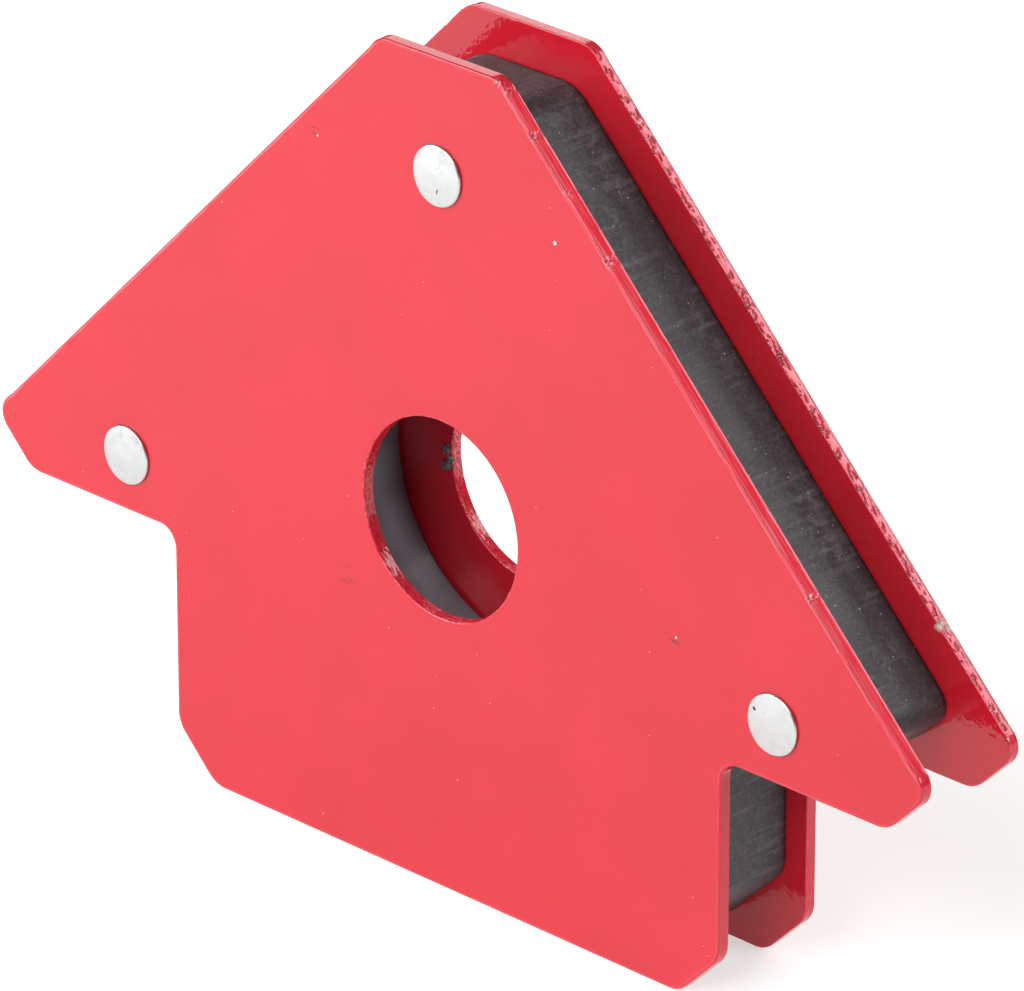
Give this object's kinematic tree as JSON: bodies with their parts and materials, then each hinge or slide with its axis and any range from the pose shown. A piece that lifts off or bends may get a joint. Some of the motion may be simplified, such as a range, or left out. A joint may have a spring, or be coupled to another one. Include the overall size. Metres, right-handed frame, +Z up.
{
  "type": "arrow magnetic welding holder",
  "caption": "Flat arrow-shaped magnet that holds steel work at 45, 90 or 135 degrees for welding: coated plates riveted over a moulded core and a ring magnet, with a central hole.",
  "frame": {"origin": "on the base line, half way along it and half way through the thickness", "axes": "+Z up, towards the arrow's apex; +X to the right along the base; Y through the thickness, with the front plate towards -Y"},
  "size_m": [0.1182, 0.0142, 0.0824],
  "materials": {
    "plate_coat": "gloss",
    "core_moulding": "matte",
    "ferrite": "satin",
    "rivet_metal": "satin"
  },
  "bodies": {
    "root": {"front_plate": "plate_coat", "back_plate": "plate_coat", "core_spacer": "core_moulding", "ring_magnet": "ferrite", "rivet_top": "rivet_metal", "rivet_left": "rivet_metal", "rivet_right": "rivet_metal"}
  },
  "joints": []
}
